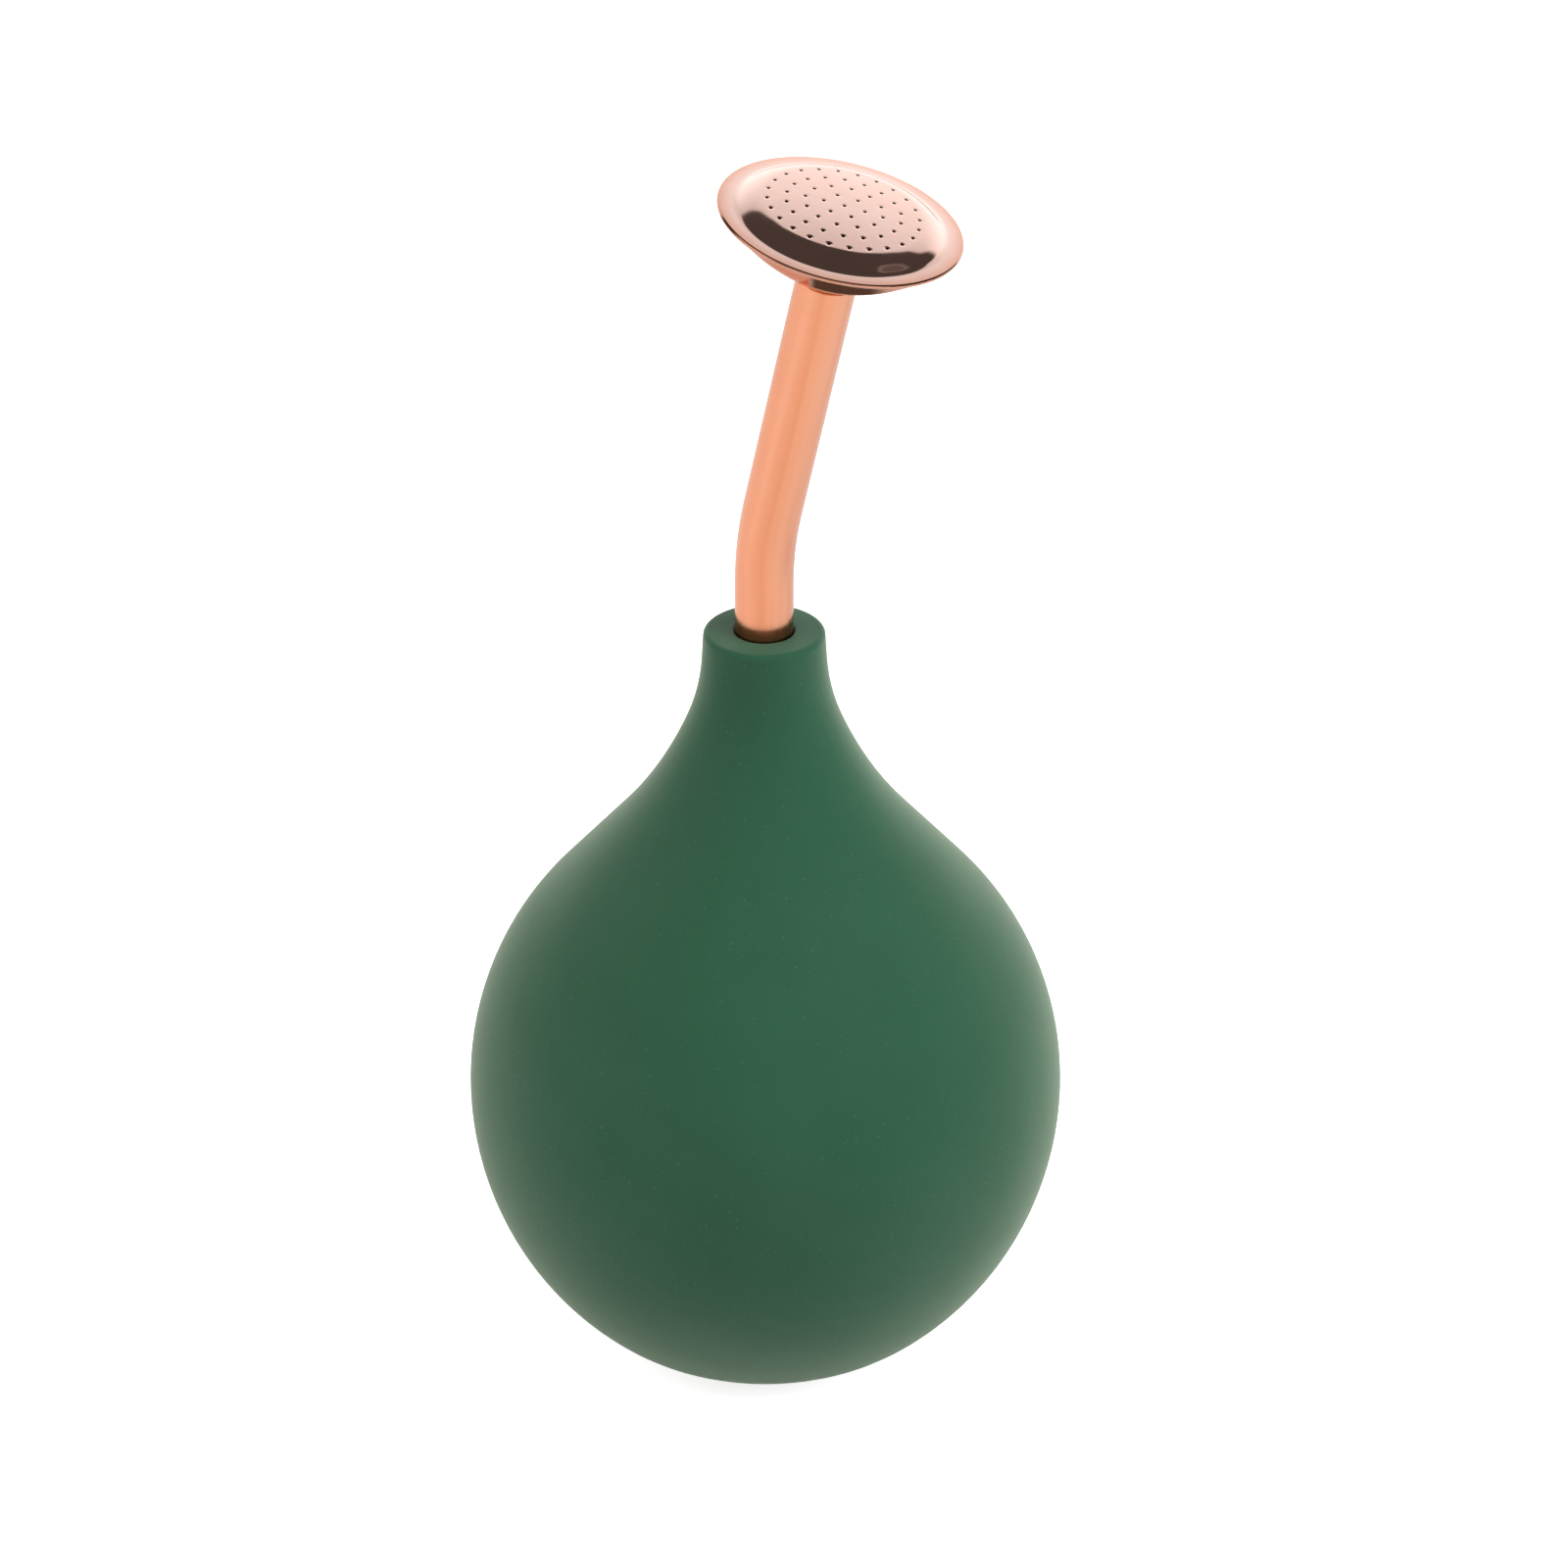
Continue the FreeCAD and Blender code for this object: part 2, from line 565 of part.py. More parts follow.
def make_face():
    """The perforated face of the rose with its rolled rim."""
    body = new_body("rose_face")
    sketch = new_sketch(body, "face_outline", "XZ_Plane")
    draw_face(sketch)
    doc.recompute()
    revolve(body, sketch, "face_turned")
    drill(body, "middle", "")
    axis = next(f for f in body.Origin.OriginFeatures if f.Role == "Z_Axis")
    for ring, _, _ in JET_RINGS:
        hole = drill(body, ring, "{" + ring + "_ring_radius}")
        around = body.newObject("PartDesign::PolarPattern", ring + "_ring")
        around.Originals = [hole]
        around.Axis = (axis, [""])
        around.Angle = 360
        bind(around, "Occurrences", "{" + ring + "_ring_count}")
        body.Tip = around
        doc.recompute()
    body.Placement = stem_end()
    return body


def write(parts):
    """Checks the document and every part, then writes one file per part."""
    doc.recompute()
    for item in doc.Objects:
        if {"Invalid", "Error"} & set(item.State):
            raise RuntimeError(item.Name + " failed: " + ", ".join(item.State))
    for part in parts:
        if part.Shape.isNull() or not part.Shape.isValid() or not part.Shape.Solids:
            raise RuntimeError(part.Label + " has no valid solid")
    os.makedirs("parts", exist_ok=True)
    for part in parts:
        part.Shape.exportStep(os.path.join("parts", part.Label + ".step"))
        box = part.Shape.optimalBoundingBox()
        print(
            "%-18s %8.1f mm3  x %.2f..%.2f  y %.2f..%.2f  z %.2f..%.2f"
            % (part.Label, part.Shape.Volume, box.XMin, box.XMax, box.YMin, box.YMax, box.ZMin, box.ZMax)
        )


fill_sheet()
rubber = make_rubber()
rose = [make_spigot(), make_seal(), make_back(), make_solder(), make_face()]
write(rubber + [make_stem()] + rose)
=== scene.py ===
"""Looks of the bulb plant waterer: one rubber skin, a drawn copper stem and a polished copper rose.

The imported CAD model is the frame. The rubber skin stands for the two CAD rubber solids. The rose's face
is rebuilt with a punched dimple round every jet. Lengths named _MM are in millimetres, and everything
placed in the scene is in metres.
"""
import json
import math

import bpy
import bmesh
from mathutils import Matrix, Vector, geometry


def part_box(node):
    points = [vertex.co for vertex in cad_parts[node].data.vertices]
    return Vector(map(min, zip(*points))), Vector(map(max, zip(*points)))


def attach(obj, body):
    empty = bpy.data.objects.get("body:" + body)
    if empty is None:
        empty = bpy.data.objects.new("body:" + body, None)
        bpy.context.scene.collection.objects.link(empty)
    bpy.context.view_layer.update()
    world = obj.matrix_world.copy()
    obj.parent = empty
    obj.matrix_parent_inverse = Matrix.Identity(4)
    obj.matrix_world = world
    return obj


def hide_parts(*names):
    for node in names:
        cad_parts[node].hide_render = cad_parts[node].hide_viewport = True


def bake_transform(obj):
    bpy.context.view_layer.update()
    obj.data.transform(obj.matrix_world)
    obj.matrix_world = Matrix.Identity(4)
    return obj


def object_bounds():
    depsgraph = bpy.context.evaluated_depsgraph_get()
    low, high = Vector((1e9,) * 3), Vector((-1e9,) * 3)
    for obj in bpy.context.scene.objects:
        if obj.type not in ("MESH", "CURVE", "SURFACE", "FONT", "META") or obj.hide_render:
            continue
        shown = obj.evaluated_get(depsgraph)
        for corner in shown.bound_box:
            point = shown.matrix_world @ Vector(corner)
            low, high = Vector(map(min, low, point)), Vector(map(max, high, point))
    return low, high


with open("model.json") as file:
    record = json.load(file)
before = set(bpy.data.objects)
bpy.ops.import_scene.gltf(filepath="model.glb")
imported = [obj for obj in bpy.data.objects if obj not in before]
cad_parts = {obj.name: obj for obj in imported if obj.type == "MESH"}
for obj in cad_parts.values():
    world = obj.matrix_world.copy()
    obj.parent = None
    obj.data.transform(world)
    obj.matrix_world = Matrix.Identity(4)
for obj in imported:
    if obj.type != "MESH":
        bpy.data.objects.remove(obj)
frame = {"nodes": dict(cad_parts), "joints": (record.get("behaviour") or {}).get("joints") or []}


def shade(red, green, blue):
    """A linear colour for a node socket."""
    return (red, green, blue, 1.0)


CAD_LOW, CAD_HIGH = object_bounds()
MM = 0.001
NODES = frame["nodes"]
JOINTS = {joint["name"]: joint for joint in frame["joints"]}
X_AXIS = (1.0, 0.0, 0.0)
Y_AXIS = (0.0, 1.0, 0.0)
Z_AXIS = (0.0, 0.0, 1.0)
SHARP_DEG = 50.0
REST_PLACE = "rest_place"

# The rubber moulding's outline, from the middle of its base up to the mouth and back down inside.
WALL_MM = 3.0
RECESS_RADIUS_MM = 8.0
RECESS_DEPTH_MM = 1.0
BULB_RADIUS_MM = 43.2
FOOT_ARC_MM = 24.1
LOWER_ARC_MM = 47.8
UPPER_ARC_MM = 45.9
LOWER_TURN_DEG = 44.2
CONE_DEG = 41.15
CONE_LENGTH_MM = 15.0
THROAT_ARC_MM = 65.0
TAPER_DEG = 22.7
NECK_ARC_MM = 30.4
DRAFT_DEG = 3.6
LIP_ROUND_MM = 0.8
MOUTH_ROUND_MM = 0.4
BORE_RADIUS_MM = 4.1
SKIN_SEGMENTS = 192
OUTLINE_STEP_MM = 2.0
OUTLINE_STEP_DEG = 8.0

# The stem. Its bend starts and ends about BEND_REACH_MM from the corner where its two stretches meet.
STEM_RADIUS_MM = 4.05
BEND_REACH_MM = 6.0
STREAK_STRETCH = 0.02
# The stem is darker from its foot up to a height just above the neck's top, with a soft edge.
DARK_FOOT_HEIGHT_MM = 1.8
DARK_FOOT_EDGE_MM = 0.2

# The rose's pressed face, measured from the stem's end along the rose's own axis. JET_RINGS gives how many
# jets stand on each ring and its radius. The jets are 0.05 mm smaller in radius than the CAD's.
# DIMPLE_LOOPS places the mesh's loops round a jet: 0 is the jet's edge and 1 the dimple's.
APEX_MM = 10.8
DOME_ARC_MM = 108.7
DOME_DEG = 5.5
SHOULDER_ARC_MM = 5.9
SHOULDER_DEG = 35.5
VALLEY_ARC_MM = 2.0
RIM_RADIUS_MM = 16.16
RIM_HEIGHT_MM = 8.5
BEAD_MM = 0.3
SEAT_DROP_MM = 0.25
SHEET_MM = 0.6
JET_RADIUS_MM = 0.25
DIMPLE_RADIUS_MM = 0.65
DIMPLE_DEPTH_MM = 0.04
DIMPLE_LOOPS = (0.0, 0.2, 0.4, 0.65, 1.0, 1.3)
JET_SEGMENTS = 20
FIELD_STEP_MM = 0.5
JET_RINGS = ((1, 0.0), (6, 2.73), (12, 5.14), (18, 7.55), (24, 9.98))
JET_TURN_DEG = 24.6
PLATE_RADIUS_MM = 11.4
ROSE_SEGMENTS = 160
NUDGE_MM = 0.01
JET_INSIDE_SHARE = 0.98
STEEP_NORMAL = 0.5

# Where the rose's colour changes: the painted shade out along the flange and darker at its edge, the seam
# with the back, and the left, right and front limits of the painted dark reflection on the back.
FLANGE_SHADE_MM = (14.2, 16.1)
EDGE_SHADE_MM = (15.7, 16.1)
SEAM_MM = (8.3, 8.1)
DARK_REFLECTION_LEFT_MM = (-3.0, -1.5)
DARK_REFLECTION_RIGHT_MM = (9.0, 5.0)
DARK_REFLECTION_FRONT_MM = (10.0, 12.0)

# Colours, all linear.
RUBBER_DARK = shade(0.0215, 0.089, 0.048)
RUBBER_LIGHT = shade(0.0260, 0.100, 0.055)
RUBBER_CLOUD = shade(0.0205, 0.083, 0.046)
RUBBER_DUST = shade(0.30, 0.38, 0.31)
# The pale colour of the painted sheen at the bulb's outline.
RUBBER_PAINTED_SHEEN = shade(0.52, 0.62, 0.46)
# The stem's bands: the copper's own colour with painted reflection.
STEM_BAND_BRIGHT_REFLECTION = shade(0.94, 0.395, 0.230)
STEM_BAND_DEEP_REFLECTION = shade(0.83, 0.325, 0.167)
STEM_BAND_PINK_REFLECTION = shade(0.81, 0.372, 0.235)
STEM_BAND_DARK_REFLECTION = shade(0.68, 0.292, 0.185)
STEM_STREAK = shade(0.98, 0.49, 0.31)
STEM_BLOTCH = shade(0.80, 0.33, 0.19)
# The darker colour of the stem's foot.
STEM_DARK_FOOT = shade(0.55, 0.17, 0.10)
ROSE_DEEP = shade(0.85, 0.57, 0.49)
ROSE_LIGHT = shade(0.88, 0.60, 0.53)
# The painted shade on the rose's flange and its rolled edge.
ROSE_FLANGE_PAINTED_SHADE = shade(0.80, 0.43, 0.33)
ROSE_EDGE_PAINTED_SHADE = shade(0.68, 0.35, 0.25)
ROSE_BACK = shade(0.83, 0.465, 0.365)
ROSE_BACK_SLANT = shade(0.72, 0.40, 0.30)
# The painted dark reflection on the rose's back, beside the stem.
ROSE_PAINTED_DARK_REFLECTION = shade(0.10, 0.045, 0.028)
BRASS_DEEP = shade(0.62, 0.42, 0.17)
BRASS_LIGHT = shade(0.78, 0.56, 0.26)
SOLDER_DEEP = shade(0.38, 0.38, 0.37)
SOLDER_LIGHT = shade(0.58, 0.58, 0.56)
SEAL_DEEP = shade(0.012, 0.012, 0.012)
SEAL_LIGHT = shade(0.035, 0.034, 0.033)
FLOOR_DEEP = shade(0.80, 0.80, 0.80)
FLOOR_LIGHT = shade(0.84, 0.84, 0.84)
ROOM_WARM = shade(1.0, 0.86, 0.78)
WHITE = shade(1.0, 1.0, 1.0)

# Where the camera stands, and what it aims at. Metres and degrees. Azimuth 0 is at -Y and 90 at +X.
CAMERA_AZIMUTH_DEG = 35.4
CAMERA_ELEVATION_DEG = 28.97
CAMERA_DISTANCE = 0.520
CAMERA_LENS_MM = 86.83
CAMERA_SENSOR_MM = 36.0
CAMERA_CLIP_START = 0.01
AIM_X = 0.00817
AIM_Y = -0.00682
AIM_BELOW_NECK = 0.01859

# The stem's colour bands, partly the copper's own colour and partly painted reflection, and the painted
# dark reflection on the rose's back are laid out from the side that faces the camera. Both stay fixed to
# their pieces in every view.
PAINTED_SIDE_DEG = CAMERA_AZIMUTH_DEG

# The floor, in metres. FLOOR_LIFT is the light added to what the camera sees of it.
FLOOR_HALF_WIDTH = 6.0
FLOOR_GAP = 0.0001
FLOOR_LIFT = 0.78

# The studio that the metal mirrors. Heights and widths are multiples of the distance. A pair gives the
# place where a thing begins to show and the place where it shows in full; a patch's pair is of cosines.
ROOM_GLOW = 0.07
BACKDROP_TOP = 1.15
BACKDROP_HALF_WIDTH = 1.2
BACKDROP_FADE_START = 0.1
BACKDROP_LOW_GLOW = 1.33
BACKDROP_HIGH_GLOW = 0.70
TOP_BLUR = 0.06
SIDE_BLUR = 0.15
LEFT_PATCH_TURN_DEG = -75.0
LEFT_PATCH_ELEVATION_DEG = 28.0
LEFT_PATCH_EDGE = (0.87, 0.95)
LEFT_PATCH_GLOW = 1.25
RIGHT_PATCH_TURN_DEG = 92.0
RIGHT_PATCH_ELEVATION_DEG = 44.0
RIGHT_PATCH_EDGE = (0.980, 0.985)
RIGHT_PATCH_MIDDLE = (0.986, 0.991)
RIGHT_PATCH_MIDDLE_LOSS = 0.7
RIGHT_PATCH_GLOW = 0.17
FRONT_TOP_EDGE = (1.25, 1.05)
FRONT_SIDE_EDGE = (1.4, 1.1)
FRONT_GLOW = 0.65
SMALL = 0.001

# The lights: name, turn from the camera's side and elevation in degrees, distance in metres, watts.
SOFTBOXES = (
    ("key_softbox", 72.0, 35.0, 4.0, 160.0),
    ("fill_softbox", -90.0, 35.0, 2.2, 21.0),
    ("top_softbox", 25.0, 65.0, 2.0, 12.5))
SOFTBOX_WIDTH_PER_DISTANCE = 0.8


# ---------------------------------------------------------------- outlines and meshes

class Outline:
    """A line of (radius, height) points made of straight stretches and arcs, in millimetres."""

    def __init__(self, radius, height, heading_deg):
        self.points = [(radius, height)]
        self.heading = math.radians(heading_deg)

    def forward(self, length):
        radius, height = self.points[-1]
        count = max(1, math.ceil(length / OUTLINE_STEP_MM))
        for i in range(1, count + 1):
            run = length * i / count
            step = (run * math.cos(self.heading), run * math.sin(self.heading))
            self.points.append((radius + step[0], height + step[1]))
        return self

    def turn_to(self, heading_deg):
        self.heading = math.radians(heading_deg)
        return self

    def arc(self, arc_radius, turn_deg):
        """Turns by turn_deg, to the left if it is positive, on an arc of that radius."""
        turn = math.radians(turn_deg)
        side = math.copysign(arc_radius, turn)
        radius, height = self.points[-1]
        middle_r = radius - side * math.sin(self.heading)
        middle_h = height + side * math.cos(self.heading)
        count = max(math.ceil(abs(turn_deg) / OUTLINE_STEP_DEG),
                    math.ceil(abs(turn) * arc_radius / OUTLINE_STEP_MM))
        start = self.heading
        for i in range(1, count + 1):
            self.heading = start + turn * i / count
            step = (side * math.sin(self.heading), side * math.cos(self.heading))
            self.points.append((middle_r + step[0], middle_h - step[1]))
        return self


def add_ring(mesh, radius, height, segments):
    """A ring of vertices about Z, or one vertex if the radius is 0. Millimetres in, metres out."""
    if radius < 1e-6:
        return [mesh.verts.new((0, 0, height * MM))]
    turns = [2 * math.pi * i / segments for i in range(segments)]
    return [mesh.verts.new((radius * MM * math.cos(turn), radius * MM * math.sin(turn), height * MM))
            for turn in turns]


def join_rings(mesh, low, high):
    """Faces between two rings, either of which can be one vertex."""
    count = max(len(low), len(high))
    for i in range(count):
        j = (i + 1) % count
        corners = [low[i % len(low)], low[j % len(low)], high[j % len(high)], high[i % len(high)]]
        mesh.faces.new(list(dict.fromkeys(corners)))


def to_object(mesh, name, sharp_deg):
    """Turns a bmesh into a smooth shaded object with sharp edges where faces meet at a steep angle."""
    bmesh.ops.recalc_face_normals(mesh, faces=mesh.faces)
    data = bpy.data.meshes.new(name)
    mesh.to_mesh(data)
    mesh.free()
    data.set_sharp_from_angle(angle=math.radians(sharp_deg))
    made = bpy.data.objects.new(name, data)
    bpy.context.scene.collection.objects.link(made)
    return made


# ---------------------------------------------------------------- material helpers

class Nodes:
    """A short way to build a node tree: every method adds a node and returns its output socket."""

    def __init__(self, tree):
        self.tree = tree
        self.tree.nodes.clear()

    def add(self, kind, **settings):
        node = self.tree.nodes.new(kind)
        for key, value in settings.items():
            setattr(node, key, value)
        return node

    def feed(self, socket, value):
        if isinstance(value, bpy.types.NodeSocket):
            self.tree.links.new(value, socket)
        elif value is not None:
            socket.default_value = value

    def place(self):
        return self.add("ShaderNodeTexCoord").outputs["Object"]

    def attribute(self, name):
        return self.add("ShaderNodeAttribute", attribute_name=name).outputs["Vector"]

    def math(self, operation, a, b=0.0, c=0.0):
        node = self.add("ShaderNodeMath", operation=operation)
        for socket, value in zip(node.inputs, (a, b, c)):
            self.feed(socket, value)
        return node.outputs[0]

    def dot(self, a, b):
        node = self.add("ShaderNodeVectorMath", operation="DOT_PRODUCT")
        self.feed(node.inputs[0], a)
        self.feed(node.inputs[1], b)
        return node.outputs["Value"]

    def vector(self, x, y, z):
        node = self.add("ShaderNodeCombineXYZ")
        for socket, value in zip(node.inputs, (x, y, z)):
            self.feed(socket, value)
        return node.outputs[0]

    def noise(self, where, scale, detail=2.0, roughness=0.5):
        node = self.add("ShaderNodeTexNoise")
        self.feed(node.inputs["Vector"], where)
        self.feed(node.inputs["Scale"], scale)
        self.feed(node.inputs["Detail"], detail)
        self.feed(node.inputs["Roughness"], roughness)
        return node.outputs["Fac"]

    def cells(self, where, scale):
        node = self.add("ShaderNodeTexVoronoi", feature="F1")
        self.feed(node.inputs["Vector"], where)
        self.feed(node.inputs["Scale"], scale)
        return node.outputs["Distance"], node.outputs["Color"]

    def spread(self, value, low, high, out_low=0.0, out_high=1.0):
        """value between low and high, turned into out_low to out_high with soft ends."""
        node = self.add("ShaderNodeMapRange", interpolation_type="SMOOTHSTEP")
        for socket, number in zip(node.inputs, (value, low, high, out_low, out_high)):
            self.feed(socket, number)
        return node.outputs[0]

    def spread_mm(self, length, limits):
        """How far a length has come from one limit to the other, 0 to 1. Limits in millimetres."""
        return self.spread(length, limits[0] * MM, limits[1] * MM)

    def mix(self, share, a, b):
        node = self.add("ShaderNodeMix", data_type="RGBA")
        self.feed(node.inputs["Factor"], share)
        self.feed(node.inputs["A"], a)
        self.feed(node.inputs["B"], b)
        return node.outputs["Result"]

    def bump(self, height, distance, strength=1.0, normal=None):
        node = self.add("ShaderNodeBump")
        self.feed(node.inputs["Height"], height)
        self.feed(node.inputs["Distance"], distance)
        self.feed(node.inputs["Strength"], strength)
        self.feed(node.inputs["Normal"], normal)
        return node.outputs[0]

    def principled(self, **values):
        node = self.add("ShaderNodeBsdfPrincipled")
        for key, value in values.items():
            self.feed(node.inputs[key.replace("_", " ")], value)
        return node.outputs[0]

    def finish(self, shader, kind="ShaderNodeOutputMaterial"):
        self.feed(self.add(kind).inputs["Surface"], shader)


def new_material(name):
    made = bpy.data.materials.new(name)
    made.use_nodes = True
    return made, Nodes(made.node_tree)


def paint(thing, material):
    """Puts one material in every slot of an object."""
    if not thing.material_slots:
        thing.data.materials.append(material)
    for slot in thing.material_slots:
        slot.material = material


# ---------------------------------------------------------------- materials

def rubber_material():
    """Matte moulded rubber: mottled green, pale dust specks, a fine grain and a painted sheen at the
    outline.

    The painted sheen is a pale colour that grows by angle towards the outline. The exported model's
    texture leaves it out.
    """
    made, nodes = new_material("bulb_rubber")
    where = nodes.attribute(REST_PLACE)
    mottle = nodes.noise(where, scale=38.0, detail=3.0)
    cloud = nodes.noise(where, scale=9.0, detail=1.0)
    green = nodes.mix(nodes.spread(mottle, 0.3, 0.7), RUBBER_DARK, RUBBER_LIGHT)
    green = nodes.mix(nodes.spread(cloud, 0.35, 0.65, 0.0, 0.5), green, RUBBER_CLOUD)
    near, tint = nodes.cells(where, scale=1100.0)
    chosen = nodes.spread(nodes.dot(tint, X_AXIS), 0.50, 0.95)
    speck = nodes.math("MULTIPLY", nodes.spread(near, 0.26, 0.08), chosen)
    green = nodes.mix(nodes.math("MULTIPLY", speck, 0.085), green, RUBBER_DUST)
    # Painted sheen: a pale colour mixed in where the surface turns away, standing in for the grazing
    # reflection.
    slant = nodes.add("ShaderNodeLayerWeight").outputs["Facing"]
    painted_sheen = nodes.math("MULTIPLY", nodes.math("POWER", slant, 3.3), 0.46)
    green = nodes.mix(painted_sheen, green, RUBBER_PAINTED_SHEEN)
    patchy = nodes.noise(where, scale=60.0, detail=2.0)
    grain = nodes.noise(where, scale=2600.0, detail=2.0)
    pores = nodes.noise(where, scale=900.0, detail=2.0)
    height = nodes.math("ADD", nodes.math("MULTIPLY", grain, 0.6), nodes.math("MULTIPLY", pores, 0.4))
    height = nodes.math("ADD", height, nodes.math("MULTIPLY", speck, 0.8))
    nodes.finish(nodes.principled(
        Base_Color=green, Roughness=nodes.spread(patchy, 0.3, 0.7, 0.56, 0.64), Specular_IOR_Level=0.2,
        Normal=nodes.bump(height, 0.03 * MM)))
    return made


def stem_material(corner, lean, neck_top):
    """Bright drawn copper: lengthwise bands, partly its own colour and partly painted reflection, streaks
    that follow the bend, and a darker foot up to just above the neck.
    """
    made, nodes = new_material("drawn_copper")
    where = nodes.place()
    offset = nodes.add("ShaderNodeVectorMath", operation="SUBTRACT")
    nodes.feed(offset.inputs[0], where)
    nodes.feed(offset.inputs[1], corner)
    from_corner = offset.outputs[0]
    across = Vector((lean.z, 0.0, -lean.x))
    low_x = nodes.dot(from_corner, X_AXIS)
    high_x = nodes.dot(from_corner, across)
    rise = nodes.dot(from_corner, Z_AXIS)
    share = nodes.spread(rise, -BEND_REACH_MM * MM, BEND_REACH_MM * MM)
    side_x = nodes.math("ADD", nodes.math("MULTIPLY", high_x, share),
                        nodes.math("MULTIPLY", low_x, nodes.math("SUBTRACT", 1.0, share)))
    side_y = nodes.dot(from_corner, Y_AXIS)
    along = nodes.math("MULTIPLY", rise, STREAK_STRETCH)
    drawn = nodes.vector(side_x, side_y, along)
    wide = nodes.noise(drawn, scale=420.0, detail=2.0)
    fine = nodes.noise(drawn, scale=2400.0, detail=3.0)
    blotch = nodes.noise(where, scale=130.0, detail=3.0)
    # Lengthwise bands seen from the side that faces the camera: the copper's own colour with painted
    # reflection, bright on the left, deeper in the middle, then pink and darker to the right.
    sideways = nodes.dot(drawn, direction(PAINTED_SIDE_DEG + 90.0, 0.0))
    turned = nodes.math("DIVIDE", sideways, STEM_RADIUS_MM * MM)
    copper = nodes.mix(nodes.spread(turned, -0.65, 0.0), STEM_BAND_BRIGHT_REFLECTION, STEM_BAND_DEEP_REFLECTION)
    copper = nodes.mix(nodes.spread(turned, 0.15, 0.55), copper, STEM_BAND_PINK_REFLECTION)
    copper = nodes.mix(nodes.spread(turned, 0.60, 0.85), copper, STEM_BAND_DARK_REFLECTION)
    copper = nodes.mix(nodes.spread(wide, 0.35, 0.7, 0.0, 0.35), copper, STEM_STREAK)
    copper = nodes.mix(nodes.spread(blotch, 0.45, 0.75, 0.0, 0.12), copper, STEM_BLOTCH)
    height = nodes.dot(where, Z_AXIS)
    # Darker from the foot up to just above the neck's top.
    dark_foot_low = neck_top + (DARK_FOOT_HEIGHT_MM - DARK_FOOT_EDGE_MM) * MM
    dark_foot_high = neck_top + (DARK_FOOT_HEIGHT_MM + DARK_FOOT_EDGE_MM) * MM
    copper = nodes.mix(nodes.spread(height, dark_foot_high, dark_foot_low), copper, STEM_DARK_FOOT)
    rough = nodes.math("ADD", nodes.spread(fine, 0.25, 0.75, 0.16, 0.25),
                       nodes.spread(blotch, 0.4, 0.7, 0.0, 0.03))
    lines = nodes.bump(fine, 0.006 * MM)
    nodes.finish(nodes.principled(
        Base_Color=copper, Metallic=1.0, Roughness=rough,
        Normal=nodes.bump(wide, 0.03 * MM, normal=lines)))
    return made


def rose_material(pivot, along):
    """Polished copper sheet: a slight waviness, hairlines, a faint bloom, painted shade towards the rim
    and a painted dark reflection.
    """
    made, nodes = new_material("polished_copper")
    where = nodes.place()
    wave = nodes.noise(where, scale=210.0, detail=1.0)
    bloom = nodes.noise(where, scale=90.0, detail=3.0)
    hair = nodes.noise(where, scale=5200.0, detail=2.0)
    offset = nodes.add("ShaderNodeVectorMath", operation="SUBTRACT")
    nodes.feed(offset.inputs[0], where)
    nodes.feed(offset.inputs[1], pivot)
    height = nodes.dot(offset.outputs[0], along)
    spoke = nodes.add("ShaderNodeVectorMath", operation="CROSS_PRODUCT")
    nodes.feed(spoke.inputs[0], offset.outputs[0])
    nodes.feed(spoke.inputs[1], along)
    reach = nodes.add("ShaderNodeVectorMath", operation="LENGTH")
    nodes.feed(reach.inputs[0], spoke.outputs[0])
    # Painted shade: the flange is painted a deeper copper and its rolled edge darker still, standing in
    # for the darker light they mirror.
    flange = nodes.spread_mm(reach.outputs["Value"], FLANGE_SHADE_MM)
    edge = nodes.spread_mm(reach.outputs["Value"], EDGE_SHADE_MM)
    below = nodes.spread_mm(height, SEAM_MM)
    # The painted dark reflection: a dark, dull patch on the back beside the stem, on the side that faces
    # the camera.
    beside = nodes.dot(offset.outputs[0], direction(PAINTED_SIDE_DEG + 90.0, 0.0))
    facing = nodes.dot(offset.outputs[0], direction(PAINTED_SIDE_DEG, 0.0))
    painted_dark = below
    for length, limits in ((beside, DARK_REFLECTION_LEFT_MM), (beside, DARK_REFLECTION_RIGHT_MM), (facing, DARK_REFLECTION_FRONT_MM)):
        painted_dark = nodes.math("MULTIPLY", painted_dark, nodes.spread_mm(length, limits))
    copper = nodes.mix(nodes.spread(bloom, 0.35, 0.65), ROSE_DEEP, ROSE_LIGHT)
    copper = nodes.mix(flange, copper, ROSE_FLANGE_PAINTED_SHADE)
    copper = nodes.mix(edge, copper, ROSE_EDGE_PAINTED_SHADE)
    copper = nodes.mix(below, copper, ROSE_BACK)
    copper = nodes.mix(painted_dark, copper, ROSE_PAINTED_DARK_REFLECTION)
    rough = nodes.math("ADD", nodes.spread(bloom, 0.3, 0.7, 0.06, 0.12),
                       nodes.spread(hair, 0.5, 0.8, 0.0, 0.03))
    polish = nodes.bump(hair, 0.0015 * MM)
    # The painted dark reflection is dull: it has neither metal's mirror nor gloss.
    nodes.finish(nodes.principled(
        Base_Color=copper, Metallic=nodes.spread(painted_dark, 0.0, 0.6, 1.0, 0.0), Specular_IOR_Level=0.0,
        Specular_Tint=nodes.mix(below, WHITE, ROSE_BACK_SLANT), Roughness=rough,
        Normal=nodes.bump(wave, 0.04 * MM, normal=polish)))
    return made


